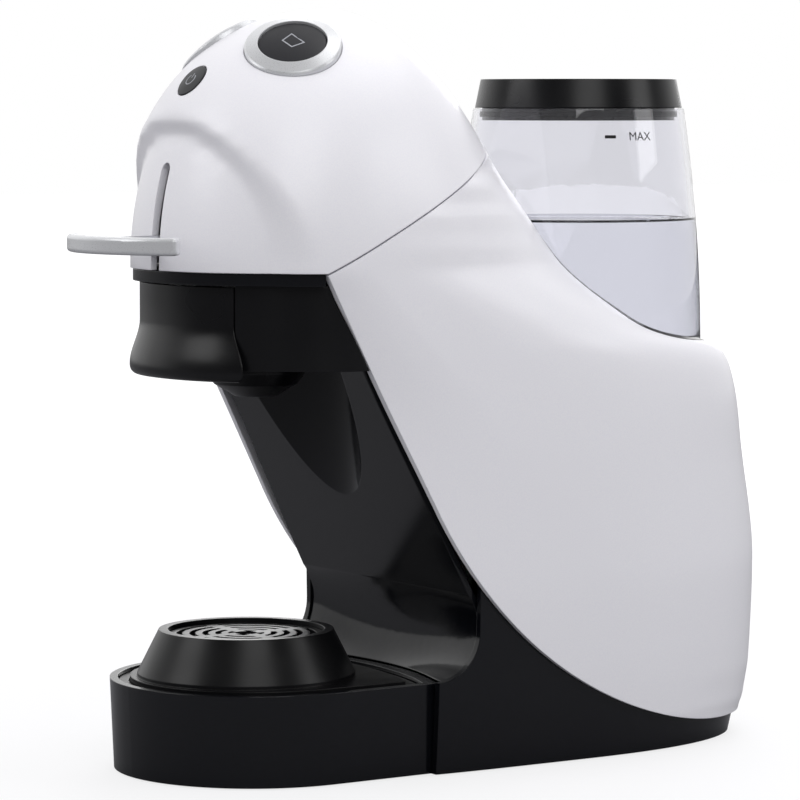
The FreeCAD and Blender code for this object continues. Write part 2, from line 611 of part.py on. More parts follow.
# Base shell: the cheeks and the foot of the body, with four screw bosses.
baseBlock = padSide("baseBlock", [
    ("cheekFront", "baseLow"), ("shellEnd", "baseLow"), ("shellEnd", "baseRearTop"),
    ("edgeFootY", "baseRearTop", "- baseOverlapBend"), ("cheekBack", "cheekTop"),
    ("cheekBack", "cheekTurnZ", "- cheekBend"),
    ("cheekTurnY", "cheekStep"), ("cheekFront", "cheekStep")], "cutterHalf")
baseWalls = cut("baseWalls", common("baseForm", baseOuter, baseBlock), baseInner)
bossSpots = [(x, y) for x in ("bossX", "- bossX") for y in ("bossFrontY", "bossRearY")]
bosses = []
screws = []
screwHoles = []
for index, (x, y) in enumerate(bossSpots):
    boss = cylinder("boss%d" % index, "bossRadius", "baseLow + plateThick", "bossTop", x, y)
    bosses.append(common("bossInside%d" % index, boss, baseOuter))
    shank = cylinder("shank%d" % index, "screwRadius", "baseLow", "baseLow + screwLength", x, y)
    head = cylinder("screwHead%d" % index, "screwHead", "baseLow", "baseLow + headThick", x, y)
    screws.append(fuse("screw%d" % index, [shank, head]))
    screwHoles.append(cylinder("screwHole%d" % index, "screwRadius + screwGap", "0",
                               "baseLow + screwLength + screwGap", x, y))
    screwHoles.append(cylinder("counterbore%d" % index, "screwHead + screwGap", "0",
                               "baseLow + headThick", x, y))
screwBores = fuse("screwBores", screwHoles)
keep(cut("baseShell", fuse("baseSolid", [baseWalls] + bosses), screwBores), "base_shell")
keep(group("baseScrews", screws), "base_screws")

tubSpace = newBody("tubSpace")
padPlan(tubSpace, "tubSpacePad", tubPlan("trayClear", "trayClearRear"), "0", "trayTop")
plateSlab = box("plateSlab", ("- cutterHalf", "cutterHalf"), ("plateFront", "shellEnd"),
                ("baseLow", "baseLow + plateThick"))
plateSkin = common("plateSkin", panelSkin, plateSlab)
plateCut = cut("plateCut", plateSkin, tubSpace)
footSpots = [("footFrontX", "footFrontY"), ("- footFrontX", "footFrontY"), ("footRearX", "footRearY"),
             ("- footRearX", "footRearY")]
plateTop = "baseLow + plateThick"
feet = [cylinder("foot%d" % index, "footRadius", "0", plateTop, x, y)
        for index, (x, y) in enumerate(footSpots)]
footHoles = [cylinder("footHole%d" % index, "footRadius + footGap", "0", plateTop, x, y)
             for index, (x, y) in enumerate(footSpots)]
keep(cut("basePlate", plateCut, fuse("plateHoles", [screwBores] + footHoles)), "base_plate")
keep(group("rubberFeet", feet), "rubber_feet")

# Drip tray: drafted tub, liner, cup stand and grille.
tub = newBody("tub")
padPlan(tub, "tubWall", tubPlan("trayRadius", "trayRear"), "baseLow", "trayTop", "trayDraft")
pocketPlan(tub, "tubHollow", tubPlan("trayInner", "trayInnerRear"), "trayTop", "trayFloor")
trayFootSpots = [("trayFootX", "trayFootY"), ("- trayFootX", "trayFootY"), ("0", "trayFootFront")]
trayFeet = [cylinder("trayFoot%d" % index, "trayFootRadius", "0", "trayFootTop", x, y)
            for index, (x, y) in enumerate(trayFootSpots)]
trayFootHoles = [cylinder("trayFootHole%d" % index, "trayFootRadius + footGap", "0", "trayFootTop", x, y)
                 for index, (x, y) in enumerate(trayFootSpots)]
keep(cut("trayHousing", tub, fuse("trayFootSpace", trayFootHoles)), "tray_housing")
keep(group("trayFeet", trayFeet), "tray_feet")

liner = newBody("drip_tray")
padPlan(liner, "linerBodyPad", tubPlan("linerBody", "linerBodyRear"), "trayFloor", "linerTop")
padPlan(liner, "linerRimPad", tubPlan("linerRim", "linerRimRear"), "linerRimLow", "linerTop")
pocketPlan(liner, "linerLedgePocket", tubPlan("linerLedge", "linerLedgeRear"), "linerTop", "linerLedgeTop")
pocketPlan(liner, "linerPocket", tubPlan("linerInner", "linerInnerRear"), "linerLedgeTop", "linerFloor")
keep(liner, "drip_tray")

stand = newBody("cup_stand")
padPlan(stand, "standPlate", tubPlan("standRadius", "standRear - standAxis", "trayCentre - standAxis"),
        "standLow", "standTop")
revolve(stand, "standCone", [
    ("coneInner", "standLow"), ("coneFoot", "standLow"), ("coneFoot", "coneFootTop"),
    ("coneTop", "coneHeight"),
    ("coneRim", "coneHeight"), ("coneRim", "ledgeTop"), ("coneLedge", "ledgeTop"), ("coneLedge", "ledgeLow")])
pocketPlan(stand, "standHollow", [
    ("coneInner", "0", "coneInner"), ("0", "coneInner", "coneInner"), ("- coneInner", "0", "coneInner"),
    ("0", "- coneInner", "coneInner")], "standTop", "standLow")
place(stand, y="standAxis")
keep(stand, "cup_stand")

grille = newBody("drip_grille")
padPlan(grille, "spokeAcross", [
    ("- grilleRadius + 0.2", "- spokeWidth"), ("grilleRadius - 0.2", "- spokeWidth"),
    ("grilleRadius - 0.2", "spokeWidth"), ("- grilleRadius + 0.2", "spokeWidth")], "ledgeTop", "grilleTop")
padPlan(grille, "spokeAlong", [
    ("- spokeWidth", "- grilleRadius + 0.2"), ("spokeWidth", "- grilleRadius + 0.2"),
    ("spokeWidth", "grilleRadius - 0.2"), ("- spokeWidth", "grilleRadius - 0.2")], "ledgeTop", "grilleTop")
BARS = 5
for index in range(BARS):
    step = " - slotWidth - barWidth" * index
    outside = "grilleRadius" + step
    inside = outside + " - barWidth"
    revolve(grille, "grilleBar%d" % index, [
        (inside, "ledgeTop"), (outside, "ledgeTop"), (outside, "grilleTop"), (inside, "grilleTop")])
pocketPlan(grille, "grilleCentre", [
    ("grilleHole", "0", "grilleHole"), ("0", "grilleHole", "grilleHole"), ("- grilleHole", "0", "grilleHole"),
    ("0", "- grilleHole", "grilleHole")], "grilleTop", "ledgeTop")
place(grille, y="standAxis")
keep(grille, "drip_grille")


# Cup space panel: straight above the knee, then a hollow sweep that ends along the tray's rear edge.
def panelSection(x):
    thick = SIZES["panelThick"]
    chord = math.sqrt(SIZES["trayBend"] ** 2 - SIZES["trayWidest"] ** 2)
    reach = min(abs(x), SIZES["trayWidest"])
    rear = SIZES["trayRear"] + math.sqrt(SIZES["trayBend"] ** 2 - reach ** 2) - chord
    foot = rear + SIZES["panelGap"] + SIZES["trayGap"]
    waistY = SIZES["panelWaistY"]
    waistZ = SIZES["panelWaistZ"]
    footZ = SIZES["panelFootZ"]
    front = [(SIZES["panelTopY"], SIZES["panelTopZ"]), (SIZES["panelKneeY"], SIZES["panelKneeZ"]),
             (waistY, waistZ),
             (waistY - 0.3 * (waistY - foot), footZ + 0.3 * (waistZ - footZ)), (foot, footZ)]
    back = [(front[0][0] + thick * 1.13, front[0][1]), (front[1][0] + thick * 1.1, front[1][1]),
            (waistY + thick, waistZ - 0.3), (front[3][0] + thick, front[3][1] - 1.2), (foot + thick, footZ)]

    def edge(points):
        bow = Part.BSplineCurve()
        bow.interpolate([Vector(x, y, z) for y, z in points])
        return bow.toShape()

    def line(first, last):
        return Part.makeLine(Vector(x, *first), Vector(x, *last))

    return Part.Wire([line(front[0], front[1]), edge(front[1:]), line(front[4], back[4]),
                      edge(back[:0:-1]), line(back[1], back[0]), line(back[0], front[0])])


PANEL_STEPS = 8
panelXs = [SIZES["panelReach"] * (2 * step / PANEL_STEPS - 1) for step in range(PANEL_STEPS + 1)]
panelSheet = solid("panelSheet", Part.makeLoft([panelSection(x) for x in panelXs], True, False))
panelTrim = common("panelTrim", panelSheet, panelSkin)
scoop = cylinder("scoop", "scoopRadius", "scoopLow", "cutterTop", y="spoutAxis")
scoopTube = cut("scoopTube", cylinder("scoopOuter", "scoopRadius + panelThick", "scoopLow - panelThick",
                                      "panelTopZ", y="spoutAxis"), scoop)
behindPanel = padSide("behindPanel", [
    ("panelTopY", "panelTopZ"), ("panelKneeY", "panelKneeZ"), ("0", "panelKneeZ"), ("0", "panelTopZ")],
    "panelReach")
scoopWall = common("scoopWall", scoopTube, behindPanel)
keep(fuse("frontPanel", [cut("panelOpen", panelTrim, scoop), scoopWall]), "front_panel")

# Tank: well, seal, jar, collar, valve and lid, all on the tank's axis.
well = turned("well", [
    ("nippleBore", "nippleLow"), ("nippleRadius", "nippleLow"), ("nippleRadius", "wellLow"),
    ("wellOuter", "wellLow"), ("wellOuter", "cutterTop"), ("wellInner", "cutterTop"),
    ("wellInner", "wellFloor"), ("nippleBore", "wellFloor")], y="tankAxis")
keep(common("tankSeat", well, trimmedOuter), "tank_seat")
keep(turned("seat_seal", [
    ("sealInner", "wellFloor"), ("sealOuter", "wellFloor"), ("sealOuter", "sealTop"),
    ("sealInner", "sealTop")],
    y="tankAxis"), "seat_seal")
keep(turned("water_tank", [
    ("tankHole", "tankFootZ"), ("tankFoot", "tankFootZ", "tankBend"), ("tankMouth", "tankMouthZ"),
    ("tankInnerMouth", "tankMouthZ", "- tankInnerBend"), ("tankInnerFoot", "tankFloor"),
    ("tankHole", "tankFloor")], y="tankAxis"), "water_tank")
keep(turned("tank_collar", [
    ("collarInner", "tankFootZ"), ("collarOuter", "tankFootZ"), ("collarOuter", "collarTop"),
    ("collarInner", "collarTop")], y="tankAxis"), "tank_collar")
keep(turned("tank_valve", [
    ("0", "valveLow"), ("valveStem", "valveLow"), ("valveStem", "valveSeat"), ("valveHead", "valveSeat"),
    ("valveHead", "valveTop"), ("0", "valveTop")], y="tankAxis"), "tank_valve")
keep(turned("tank_lid", [
    ("0", "lidRoof"), ("plugInner", "lidRoof"), ("plugInner", "plugLow"), ("plugRadius", "plugLow"),
    ("plugRadius", "lidLow"), ("lidRadius", "lidLow"), ("lidTopRadius", "lidTop"), ("0", "lidTop")],
    y="tankAxis"), "tank_lid")
keep(turned("lid_seal", [
    ("plugRadius", "ringLow"), ("ringOuter", "ringLow"), ("ringOuter", "ringTop"), ("plugRadius", "ringTop")],
    y="tankAxis"), "lid_seal")

# Head underside: band, brew housing with its channel, pod drawer and outlet.
bandSpan = (SIZES["bandLow"], SIZES["bandTop"])
bandRing = cut("bandRing", plan("bandOuter", SIZES["bandInset"], *bandSpan),
               plan("bandHollow", SIZES["bandInner"], *bandSpan))
bandBox = box("bandBox", ("- cutterHalf", "cutterHalf"), ("- shellEnd", "bandEnd"), ("bandLow", "bandTop"))
keep(common("rimBand", bandRing, bandBox), "rim_band")

housingBlock = common("housingBlock", plan("housingPlan", SIZES["housingInset"], SIZES["housingLow"],
                                           SIZES["housingTop"]),
                      box("housingBox", ("- cutterHalf", "cutterHalf"), ("housingFront", "housingRear"),
                          ("housingLow", "housingTop")))
shellRoom = cut("shellRoom", behindEdge("shellRoomBlock", " - seamGap"),
                bodySkin("shellRoomInner", total("wall + seamGap"), total("bodySkinTop + wall")))
housingForm = cut("housingForm", housingBlock, shellRoom)
channel = box("channel", ("- channelHalf", "channelHalf"), ("- shellEnd", "channelRear"),
              ("channelLow", "channelTop"))
housingHoles = [channel,
                cylinder("pistonBore", "pistonHole", "channelLow", "cutterTop", y="spoutAxis"),
                cylinder("outletBore", "outletHole", "0", "channelTop", y="spoutAxis")]
bracketSpots = [(x, y) for x in ("bracketScrewX", "- bracketScrewX")
                for y in ("bracketScrewFront", "bracketScrewRear")]
headScrews = []
bracketBores = []
for index, (x, y) in enumerate(bracketSpots):
    shank = cylinder("bracketShank%d" % index, "screwRadius", "channelTop + 0.2", "bracketFoot", x, y)
    head = cylinder("bracketHead%d" % index, "screwHead", "bracketFoot", "bracketFoot + headThick", x, y)
    headScrews.append(fuse("bracketScrew%d" % index, [shank, head]))
    bore = cylinder("bracketBore%d" % index, "screwRadius + screwGap", "channelTop", "bracketFoot", x, y)
    bracketBores.append(bore)
bracketScrewBores = fuse("bracketScrewBores", bracketBores)
housingSpace = fuse("housingSpace", housingHoles + [bracketScrewBores])
keep(cut("brewHousing", housingForm, housingSpace), "brew_housing")
keep(group("bracketScrews", headScrews), "bracket_screws")


def drawerFront():
    # Hollow pull: drawn in at the waist, flared to a rounded lip at the bottom.
    low = SIZES["holderLow"]
    top = SIZES["holderTop"]
    lip = SIZES["lipHeight"]
    waist = SIZES["waistHeight"]
    rings = []
    for step in range(PULL_STEPS + 1):
        z = low + (top - low) * step / PULL_STEPS
        inset = SIZES["lipInset"]
        if z < lip:
            inset += SIZES["lipRound"] * (1 - math.sqrt(1 - ((lip - z) / (lip - low)) ** 2))
        else:
            share = min(1.0, (z - lip) / (waist - lip))
            inset += share ** 2 * (3 - 2 * share) * (SIZES["housingInset"] - SIZES["lipInset"])
        rings.append(ring(outline(SIZES["outlineHeight"], inset, at=z)))
    return Part.makeLoft(rings, True, False)


pullBlock = common("pullBlock", solid("pullForm", drawerFront()),
                   box("pullBox", ("- cutterHalf", "cutterHalf"), ("- shellEnd", "holderFront"),
                       ("holderLow", "holderTop")))
drawerBox = box("drawerBox", ("- drawerHalf", "drawerHalf"), ("holderFront - seamGap", "drawerRear"),
                ("drawerLow", "drawerTop"))
podCup = cylinder("podCup", "podRadius", "podFloor", "cutterTop", y="spoutAxis")
podDrain = cylinder("podDrain", "podHole", "0", "cutterTop", y="spoutAxis")
keep(cut("podHolder", fuse("drawerSolid", [pullBlock, drawerBox]), fuse("podSpace", [podCup, podDrain])),
     "pod_holder")

keep(turned("outlet_nozzle", [
    ("spoutBore", "spoutLow"), ("spoutRadius", "spoutLow"), ("bowlStep", "bowlMid"),
    ("flangeRadius", "flangeLow"),
    ("flangeRadius", "housingLow"), ("outletCollar", "housingLow"), ("outletCollar", "outletTop"),
    ("bowlInner", "outletTop"), ("bowlInner", "flangeLow")], y="spoutAxis"), "outlet_nozzle")

# Lever: bowed bar, arm through the slot, pins and bracket.
bow = newBody("lever_handle")
bowBar = revolve(bow, "bowBar", [
    ("bowRadius - bowHalfDepth", "armTipZ - bowHalfHeight"),
    ("bowRadius + bowHalfDepth", "armTipZ - bowHalfHeight"),
    ("bowRadius + bowHalfDepth", "armTipZ + bowHalfHeight"),
    ("bowRadius - bowHalfDepth", "armTipZ + bowHalfHeight")])
bind(bowBar, Angle="bowSpread")
doc.recompute()
bowRound = bow.newObject("PartDesign::Fillet", "bowRound")
bowRound.Base = (bowBar, ["Edge%d" % number for number in range(1, len(bowBar.Shape.Edges) + 1)])
bind(bowRound, Radius="bowRound")
bow.Placement = Placement(Vector(0, 0, 0), Rotation(Vector(0, 0, 1), -90))
place(bow, y="bowCentre")
keep(bow, "lever_handle")

armBar = padSide("armBar", [
    ("pivotY", "pivotZ + armHalfDepth"), ("armNeckY", "armNeckZ + armTipHalf"),
    ("armTipY", "armTipZ + armTipHalf"), ("armTipY", "armTipZ - armTipHalf"),
    ("armNeckY", "armNeckZ - armTipHalf"), ("pivotY", "pivotZ - armHalfDepth")], "armHalf")
armSolid = fuse("armSolid", [armBar, across("armEyeDisc", "armEye", "armHalf", "pivotY", "pivotZ")])
armHoles = fuse("armHoles", [across("armPivotHole", "pivotRadius + runFit", "pivotHalf", "pivotY", "pivotZ"),
                             across("armPinHole", "pinRadius + pressFit", "pinHalf", "pinY", "pinZ")])
keep(cut("leverArm", armSolid, armHoles), "lever_arm")
keep(across("leverPin", "pivotRadius", "pivotHalf", "pivotY", "pivotZ"), "lever_pin")
keep(across("pistonPin", "pinRadius", "pinHalf", "pinY", "pinZ"), "piston_pin")

bracketParts = [box("bracketFoot", ("- bracketFootHalf", "bracketFootHalf"),
                    ("bracketFootFront", "bracketFootRear"), ("housingTop", "bracketFoot"))]
bracketEye = across("bracketEye", "armEye", "cheekOuter", "pivotY", "pivotZ")
bracketGap = box("bracketGap", ("- cheekInner", "cheekInner"), ("- shellEnd", "shellEnd"),
                 ("bracketFoot", "cutterTop"))
cheekBlock = box("cheekBlock", ("- cheekOuter", "cheekOuter"), ("bracketFootFront", "bracketRear"),
                 ("bracketFoot", "pivotZ"))
bracketCheeks = cut("bracketCheeks", fuse("cheeks", [cheekBlock, bracketEye]), bracketGap)
bracketSolid = fuse("bracketSolid", bracketParts + [bracketCheeks])
bracketPinHole = across("bracketPinHole", "pivotRadius + pressFit", "pivotHalf", "pivotY", "pivotZ")
bracketHoles = fuse("bracketHoles", [bracketScrewBores, bracketPinHole])
keep(cut("leverBracket", bracketSolid, bracketHoles), "lever_bracket")

# Brew piston with its seal and needle, lifted by the pin in the lever's arm.
pistonDisc = turned("pistonDisc", [
    ("pistonRecess", "pistonLow"), ("pistonRadius", "pistonLow"), ("pistonRadius", "grooveLow"),
    ("pistonRadius - grooveDeep", "grooveLow"), ("pistonRadius - grooveDeep", "grooveTop"),
    ("pistonRadius", "grooveTop"), ("pistonRadius", "pistonTop"), ("stemRadius", "pistonTop"),
    ("stemRadius", "stemTop"), ("0", "stemTop"), ("0", "recessTop"), ("pistonRecess", "recessTop")],
    y="spoutAxis")
yokeBlock = box("yokeBlock", ("- cheekOuter", "cheekOuter"), ("spoutAxis - yokeHalf", "spoutAxis + yokeHalf"),
                ("stemTop", "yokeTop"))
yokeGap = box("yokeGap", ("- cheekInner", "cheekInner"), ("- shellEnd", "shellEnd"), ("stemTop", "yokeTop"))
yokeSlot = box("yokeSlot", ("- pinHalf", "pinHalf"), ("pinY - yokeSlot", "pinY + yokeSlot"),
               ("pinZ - pinRadius - yokePlay", "pinZ + pinRadius + yokePlay"))
yoke = cut("yoke", yokeBlock, fuse("yokeSpace", [yokeGap, yokeSlot]))
keep(fuse("brewPiston", [pistonDisc, yoke]), "brew_piston")
keep(turned("piston_seal", [
    ("pistonRadius - grooveDeep", "grooveLow"), ("pistonRadius + sealProud", "grooveLow"),
    ("pistonRadius + sealProud", "grooveTop"), ("pistonRadius - grooveDeep", "grooveTop")],
    y="spoutAxis"), "piston_seal")
keep(turned("piercing_needle", [
    ("0", "needleLow"), ("needleRadius", "needleTaper"), ("needleRadius", "recessTop"), ("0", "recessTop")],
    y="spoutAxis"), "piercing_needle")

# Boiler on its shelf, pump on its mounts, flow meter and hoses.
keep(turned("boiler", [
    ("0", "boilerNippleLow"), ("boilerNipple", "boilerNippleLow"), ("boilerNipple", "boilerLow"),
    ("boilerEdge", "boilerLow"), ("boilerRadius", "boilerLow + boilerRim"),
    ("boilerRadius", "boilerTop - boilerRim"), ("boilerEdge", "boilerTop"), ("0", "boilerTop")],
    y="boilerY"), "boiler")
shelf = box("shelf", ("- shelfHalf", "shelfHalf"), ("bracketFootRear", "shelfRear"),
            ("housingTop", "boilerLow"))
keep(cut("boilerShelf", shelf, cylinder("shelfHole", "shelfHole", "0", "cutterTop", y="boilerY")),
     "boiler_shelf")

pumpBody = lengthwise("pumpBody", "pumpRadius", "pumpFront", "pumpRear", "pumpX", "pumpZ")
pumpPipe = lengthwise("pumpPipe", "pumpNipple", "pumpFront - nippleReach", "pumpRear + nippleReach", "pumpX",
                      "pumpZ")
keep(fuse("pump", [pumpBody, pumpPipe]), "pump")
mounts = []
for name, low, high in (("front", "pumpFront - mountThick", "pumpFront"), ("rear", "pumpRear",
                                                                          "pumpRear + mountThick")):
    plate = box(name + "MountPlate", ("pumpX - mountHalf", "pumpX + mountHalf"), (low, high),
                ("baseLow + plateThick", "mountTop"))
    bore = lengthwise(name + "MountBore", "mountHole", low, high, "pumpX", "pumpZ")
    mounts.append(cut(name + "Mount", plate, bore))
keep(group("pumpMounts", mounts), "pump_mounts")
keep(turned("flow_meter", [
    ("0", "meterEnd"), ("meterNipple", "meterEnd"), ("meterNipple", "meterLow"), ("meterRadius", "meterLow"),
    ("meterRadius", "meterTop"), ("meterNipple", "meterTop"), ("meterNipple", "nippleLow"),
    ("0", "nippleLow")],
    y="tankAxis"), "flow_meter")


def hose(label, corners):
    # Round tube along straight runs joined by tangent arcs of one radius.
    bend = SIZES["hoseBend"]
    edges = []
    last = corners[0]
    for before, corner, after in zip(corners, corners[1:], corners[2:]):
        arrive = (corner - before).normalize()
        leave = (after - corner).normalize()
        reach = bend * math.tan(arrive.getAngle(leave) / 2)
        first = corner - arrive * reach
        final = corner + leave * reach
        inside = (leave - arrive).normalize()
        depth = bend / math.cos(arrive.getAngle(leave) / 2) - bend
        edges.append(Part.LineSegment(last, first).toShape())
        edges.append(Part.Arc(first, corner + inside * depth, final).toShape())
        last = final
    edges.append(Part.LineSegment(last, corners[-1]).toShape())
    start = (corners[1] - corners[0]).normalize()
    section = Part.Wire([Part.makeCircle(SIZES["hoseRadius"], corners[0], start)])
    tube = Part.Wire(edges).makePipeShell([section], True, True)
    return keep(solid(label, tube), label)


pumpX = SIZES["pumpX"]
pumpZ = SIZES["pumpZ"]
inlet = total("pumpRear + nippleReach")
outlet = total("pumpFront - nippleReach")
hose("supply_hose", [
    Vector(0, SIZES["tankAxis"], SIZES["meterEnd"]), Vector(0, SIZES["tankAxis"], SIZES["hoseFall"]),
    Vector(pumpX, SIZES["hoseBack"], SIZES["hoseFall"]), Vector(pumpX, SIZES["hoseBack"], pumpZ),
    Vector(pumpX, inlet, pumpZ)])
hose("pressure_hose", [
    Vector(pumpX, outlet, pumpZ), Vector(pumpX, SIZES["hoseFront"], pumpZ),
    Vector(pumpX, SIZES["hoseFront"], SIZES["hoseRise"]), Vector(0, SIZES["boilerY"], SIZES["hoseRise"]),
    Vector(0, SIZES["boilerY"], SIZES["boilerNippleLow"])])

# Control board standing on the base plate, with its parts.
boardFace = "boardX + boardThick"
keep(box("controlBoard", ("boardX", boardFace), ("boardFront", "boardRear"),
         ("baseLow + plateThick", "boardTop")),
     "control_board")
boardParts = [
    box("relay", (boardFace, boardFace + " + relayDeep"), ("relayY", "relayY + relayWide"),
        ("relayZ", "relayZ + relayHigh")),
    box("heatSink", (boardFace, boardFace + " + sinkDeep"), ("sinkY", "sinkY + sinkWide"),
        ("sinkZ", "sinkZ + sinkHigh"))]
for index in range(2):
    can = doc.addObject("Part::Cylinder", "capacitor%d" % index)
    bind(can, Radius="capRadius", Height="capLong")
    can.Placement = Placement(Vector(0, 0, 0), Rotation(Vector(0, 0, 1), Vector(1, 0, 0)))
    boardParts.append(place(can, boardFace, "capY" + " + capStep" * index, "capZ"))
keep(group("boardParts", boardParts), "board_parts")

# Check of every object, then one file for each piece.
doc.recompute()
for made in doc.Objects:
    if "Invalid" in made.State or "Error" in made.State:
        raise RuntimeError("%s could not be made" % made.Label)
os.makedirs("parts", exist_ok=True)
for made in PARTS:
    if made.Shape.isNull() or not made.Shape.isValid():
        raise RuntimeError("%s has no valid shape" % made.Label)
    made.Shape.exportStep("parts/%s.step" % made.Label)
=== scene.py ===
import json
import math
import bmesh
import bpy
from mathutils import Matrix, Vector


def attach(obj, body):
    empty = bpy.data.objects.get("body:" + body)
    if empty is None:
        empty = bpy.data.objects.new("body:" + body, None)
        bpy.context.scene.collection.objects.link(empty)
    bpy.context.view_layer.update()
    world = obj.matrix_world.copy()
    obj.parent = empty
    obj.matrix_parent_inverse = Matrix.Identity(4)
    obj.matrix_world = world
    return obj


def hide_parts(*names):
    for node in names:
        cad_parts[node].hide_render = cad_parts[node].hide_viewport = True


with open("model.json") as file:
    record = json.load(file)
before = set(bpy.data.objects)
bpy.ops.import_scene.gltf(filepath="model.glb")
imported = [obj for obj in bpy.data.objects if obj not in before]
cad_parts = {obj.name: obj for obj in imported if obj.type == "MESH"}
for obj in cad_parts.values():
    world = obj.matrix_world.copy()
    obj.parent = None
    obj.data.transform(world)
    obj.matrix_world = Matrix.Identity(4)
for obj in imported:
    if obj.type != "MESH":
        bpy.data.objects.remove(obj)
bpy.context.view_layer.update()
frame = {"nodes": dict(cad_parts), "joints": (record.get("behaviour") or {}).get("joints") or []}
nodes = frame["nodes"]
joints = {joint["name"]: joint for joint in frame["joints"]}
mm = 0.001
scene = bpy.context.scene
print("frame loaded, nodes:", len(nodes))


# Camera of the photograph: it stands off the cup stand's axis and looks slightly down.
cameraView = {"azimuth": 59.0, "distance": 1425.35, "height": 245.75, "standAxisY": -77.5,
              "imageWidth": 800, "focalPixels": 3871.5, "standColumn": 245, "horizonRow": 103,
              "sensorWidth": 36.0, "clipStart": 0.05}


def addCamera(view):
    turn = math.radians(view["azimuth"])
    back = Vector((math.sin(turn), -math.cos(turn), 0))
    side = Vector((math.cos(turn), math.sin(turn), 0))
    middle = view["imageWidth"] / 2
    yaw = math.atan((view["standColumn"] - middle) / view["focalPixels"])
    pitch = math.atan((middle - view["horizonRow"]) / view["focalPixels"])
    right = side * math.cos(yaw) - back * math.sin(yaw)
    level = -back * math.cos(yaw) - side * math.sin(yaw)
    ahead = level * math.cos(pitch) - Vector((0, 0, math.sin(pitch)))
    pose = Matrix((right, right.cross(ahead), -ahead)).transposed().to_4x4()
    pose.translation = (Vector((0, view["standAxisY"], view["height"])) + back * view["distance"]) * mm
    lens = bpy.data.cameras.new("photoCamera")
    lens.sensor_width = view["sensorWidth"]
    lens.lens = view["focalPixels"] / view["imageWidth"] * view["sensorWidth"]
    lens.clip_start = view["clipStart"]
    camera = bpy.data.objects.new("photoCamera", lens)
    scene.collection.objects.link(camera)
    camera.matrix_world = pose
    scene.camera = camera
    return back


towardsCamera = addCamera(cameraView)
print("camera placed")


# Materials: one function for colours, one for nodes, then recipes for moulded, metal and clear surfaces.
# How a noise is read: its useful range, the stops of the two tones, the gloss's swing, the bump's depth.
noiseUse = {"low": 0.3, "high": 0.7, "toneLow": 0.35, "toneHigh": 0.65, "mouldedSwing": 0.15,
            "metalSwing": 0.25, "depth": 0.2, "bevelSamples": 6}


def linear(code):
    # sRGB hex to linear
    parts = [int(code[at:at + 2], 16) / 255 for at in (1, 3, 5)]
    return [part / 12.92 if part <= 0.04045 else ((part + 0.055) / 1.055) ** 2.4 for part in parts] + [1.0]


def addNode(tree, kind, links=None, values=None, **settings):
    node = tree.nodes.new(kind)
    for name, value in settings.items():
        setattr(node, name, value)
    for name, value in (values or {}).items():
        node.inputs[name].default_value = value
    for name, source in (links or {}).items():
        tree.links.new(source, node.inputs[name])
    return node


def newMaterial(name, colour, sockets):
    material = bpy.data.materials.new(name)
    material.use_nodes = True
    shader = material.node_tree.nodes["Principled BSDF"]
    shader.inputs["Base Color"].default_value = linear(colour)
    for socket, value in sockets.items():
        shader.inputs[socket].default_value = value
    return material, material.node_tree, shader


def addSurface(tree, shader, look, glossNoise, reliefNoise, swing):
    # one noise varies the gloss, the other makes the bump on top of the rounded edges
    rough = look["sockets"]["Roughness"]
    gloss = addNode(tree, "ShaderNodeMapRange", {"Value": glossNoise.outputs["Fac"]},
                    {"From Min": noiseUse["low"], "From Max": noiseUse["high"],
                     "To Min": rough * (1 - swing), "To Max": rough * (1 + swing)})
    tree.links.new(gloss.outputs["Result"], shader.inputs["Roughness"])
    edge = addNode(tree, "ShaderNodeBevel", values={"Radius": look["edge"] * mm},
                   samples=noiseUse["bevelSamples"])
    bump = addNode(tree, "ShaderNodeBump",
                   {"Height": reliefNoise.outputs["Fac"], "Normal": edge.outputs["Normal"]},
                   {"Strength": look["relief"], "Distance": look["grain"] * mm * noiseUse["depth"]})
    tree.links.new(bump.outputs["Normal"], shader.inputs["Normal"])


def mouldedMaterial(name, look):
    # tone: second colour of the faint mottling; grain, swell and edge in millimetres
    material, tree, shader = newMaterial(name, look["colour"], look["sockets"])
    spot = addNode(tree, "ShaderNodeTexCoord").outputs["Object"]
    swell = addNode(tree, "ShaderNodeTexNoise", {"Vector": spot},
                    {"Scale": 1 / (look["swell"] * mm), "Detail": 2})
    grain = addNode(tree, "ShaderNodeTexNoise", {"Vector": spot},
                    {"Scale": 1 / (look["grain"] * mm), "Detail": 3})
    tones = addNode(tree, "ShaderNodeValToRGB", {"Fac": grain.outputs["Fac"]})
    dark, light = tones.color_ramp.elements
    dark.position = noiseUse["toneLow"]
    dark.color = linear(look["tone"])
    light.position = noiseUse["toneHigh"]
    light.color = linear(look["colour"])
    tree.links.new(tones.outputs["Color"], shader.inputs["Base Color"])
    addSurface(tree, shader, look, swell, grain, noiseUse["mouldedSwing"])
    return material


def metalMaterial(name, look):
    # along: stretch of the noise by axis, so that it stands for turning marks or, at 1, for grit
    material, tree, shader = newMaterial(name, look["colour"], look["sockets"])
    spot = addNode(tree, "ShaderNodeTexCoord").outputs["Object"]
    stretch = addNode(tree, "ShaderNodeMapping", {"Vector": spot}, {"Scale": look["along"]})
    grain = addNode(tree, "ShaderNodeTexNoise", {"Vector": stretch.outputs["Vector"]},
                    {"Scale": 1 / (look["grain"] * mm), "Detail": 3})
    addSurface(tree, shader, look, grain, grain, noiseUse["metalSwing"])
    return material


